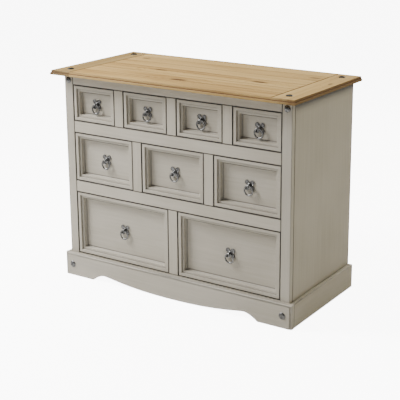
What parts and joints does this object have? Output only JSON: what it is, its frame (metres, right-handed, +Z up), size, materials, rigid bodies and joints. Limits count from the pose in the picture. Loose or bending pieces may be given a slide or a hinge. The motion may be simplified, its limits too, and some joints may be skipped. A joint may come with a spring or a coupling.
{
  "type": "chest of drawers",
  "caption": "Painted pine chest of drawers with a waxed plank top, inset moulded drawer fronts, ring pulls and a scalloped plinth.",
  "frame": {"origin": "on the floor, at the centre of the footprint of the top", "axes": "+X to the right seen from the front, +Y to the back, +Z up; the drawers open towards -Y"},
  "size_m": [1.074, 0.519, 0.8383],
  "materials": {
    "grey_paint": "grey-beige painted pine, satin, with a darker glaze left in the joints and mouldings",
    "waxed_pine": "honey-coloured waxed pine with visible grain and knots",
    "bare_pine": "bare planed pine",
    "pewter": "dark antique pewter, worn brighter on the high spots"
  },
  "bodies": {
    "carcass": {"top_boards": "waxed_pine", "top_end_left": "waxed_pine", "top_end_right": "waxed_pine", "side_panel_left": "grey_paint", "side_panel_right": "grey_paint", "stile_left": "grey_paint", "stile_right": "grey_paint", "top_rail": "grey_paint", "upper_rail": "grey_paint", "lower_rail": "grey_paint", "top_divider_1": "grey_paint", "top_divider_2": "grey_paint", "top_divider_3": "grey_paint", "middle_divider_1": "grey_paint", "middle_divider_2": "grey_paint", "bottom_divider_1": "grey_paint", "base_board": "bare_pine", "upper_dust_board": "bare_pine", "lower_dust_board": "bare_pine", "back_rail": "bare_pine", "back_panel": "bare_pine", "plinth_front": "grey_paint", "plinth_left": "grey_paint", "plinth_right": "grey_paint"},
    "drawer_top_1": {"drawer_front_top_1": "grey_paint", "drawer_box_top_1": "bare_pine", "handle_plate_top_1": "pewter"},
    "ring_top_1": {"handle_ring_top_1": "pewter"},
    "drawer_top_2": {"drawer_front_top_2": "grey_paint", "drawer_box_top_2": "bare_pine", "handle_plate_top_2": "pewter"},
    "ring_top_2": {"handle_ring_top_2": "pewter"},
    "drawer_top_3": {"drawer_front_top_3": "grey_paint", "drawer_box_top_3": "bare_pine", "handle_plate_top_3": "pewter"},
    "ring_top_3": {"handle_ring_top_3": "pewter"},
    "drawer_top_4": {"drawer_front_top_4": "grey_paint", "drawer_box_top_4": "bare_pine", "handle_plate_top_4": "pewter"},
    "ring_top_4": {"handle_ring_top_4": "pewter"},
    "drawer_middle_1": {"drawer_front_middle_1": "grey_paint", "drawer_box_middle_1": "bare_pine", "handle_plate_middle_1": "pewter"},
    "ring_middle_1": {"handle_ring_middle_1": "pewter"},
    "drawer_middle_2": {"drawer_front_middle_2": "grey_paint", "drawer_box_middle_2": "bare_pine", "handle_plate_middle_2": "pewter"},
    "ring_middle_2": {"handle_ring_middle_2": "pewter"},
    "drawer_middle_3": {"drawer_front_middle_3": "grey_paint", "drawer_box_middle_3": "bare_pine", "handle_plate_middle_3": "pewter"},
    "ring_middle_3": {"handle_ring_middle_3": "pewter"},
    "drawer_bottom_1": {"drawer_front_bottom_1": "grey_paint", "drawer_box_bottom_1": "bare_pine", "handle_plate_bottom_1": "pewter"},
    "ring_bottom_1": {"handle_ring_bottom_1": "pewter"},
    "drawer_bottom_2": {"drawer_front_bottom_2": "grey_paint", "drawer_box_bottom_2": "bare_pine", "handle_plate_bottom_2": "pewter"},
    "ring_bottom_2": {"handle_ring_bottom_2": "pewter"}
  },
  "joints": [
    {"name": "slide_top_1", "type": "slide", "parent": "carcass", "child": "drawer_top_1", "axis": [0, -1, 0], "range_m": [0, 0.3]},
    {"name": "swing_top_1", "type": "hinge", "parent": "drawer_top_1", "child": "ring_top_1", "pos_m": [-0.36375, -0.2008, 0.71], "axis": [-1, 0, 0], "range_deg": [-5, 110]},
    {"name": "slide_top_2", "type": "slide", "parent": "carcass", "child": "drawer_top_2", "axis": [0, -1, 0], "range_m": [0, 0.3]},
    {"name": "swing_top_2", "type": "hinge", "parent": "drawer_top_2", "child": "ring_top_2", "pos_m": [-0.12125, -0.2008, 0.71], "axis": [-1, 0, 0], "range_deg": [-5, 110]},
    {"name": "slide_top_3", "type": "slide", "parent": "carcass", "child": "drawer_top_3", "axis": [0, -1, 0], "range_m": [0, 0.3]},
    {"name": "swing_top_3", "type": "hinge", "parent": "drawer_top_3", "child": "ring_top_3", "pos_m": [0.12125, -0.2008, 0.71], "axis": [-1, 0, 0], "range_deg": [-5, 110]},
    {"name": "slide_top_4", "type": "slide", "parent": "carcass", "child": "drawer_top_4", "axis": [0, -1, 0], "range_m": [0, 0.3]},
    {"name": "swing_top_4", "type": "hinge", "parent": "drawer_top_4", "child": "ring_top_4", "pos_m": [0.36375, -0.2008, 0.71], "axis": [-1, 0, 0], "range_deg": [-5, 110]},
    {"name": "slide_middle_1", "type": "slide", "parent": "carcass", "child": "drawer_middle_1", "axis": [0, -1, 0], "range_m": [0, 0.3]},
    {"name": "swing_middle_1", "type": "hinge", "parent": "drawer_middle_1", "child": "ring_middle_1", "pos_m": [-0.32333, -0.2008, 0.4955], "axis": [-1, 0, 0], "range_deg": [-5, 110]},
    {"name": "slide_middle_2", "type": "slide", "parent": "carcass", "child": "drawer_middle_2", "axis": [0, -1, 0], "range_m": [0, 0.3]},
    {"name": "swing_middle_2", "type": "hinge", "parent": "drawer_middle_2", "child": "ring_middle_2", "pos_m": [0, -0.2008, 0.4955], "axis": [-1, 0, 0], "range_deg": [-5, 110]},
    {"name": "slide_middle_3", "type": "slide", "parent": "carcass", "child": "drawer_middle_3", "axis": [0, -1, 0], "range_m": [0, 0.3]},
    {"name": "swing_middle_3", "type": "hinge", "parent": "drawer_middle_3", "child": "ring_middle_3", "pos_m": [0.32333, -0.2008, 0.4955], "axis": [-1, 0, 0], "range_deg": [-5, 110]},
    {"name": "slide_bottom_1", "type": "slide", "parent": "carcass", "child": "drawer_bottom_1", "axis": [0, -1, 0], "range_m": [0, 0.3]},
    {"name": "swing_bottom_1", "type": "hinge", "parent": "drawer_bottom_1", "child": "ring_bottom_1", "pos_m": [-0.2425, -0.2008, 0.224], "axis": [-1, 0, 0], "range_deg": [-5, 110]},
    {"name": "slide_bottom_2", "type": "slide", "parent": "carcass", "child": "drawer_bottom_2", "axis": [0, -1, 0], "range_m": [0, 0.3]},
    {"name": "swing_bottom_2", "type": "hinge", "parent": "drawer_bottom_2", "child": "ring_bottom_2", "pos_m": [0.2425, -0.2008, 0.224], "axis": [-1, 0, 0], "range_deg": [-5, 110]}
  ]
}
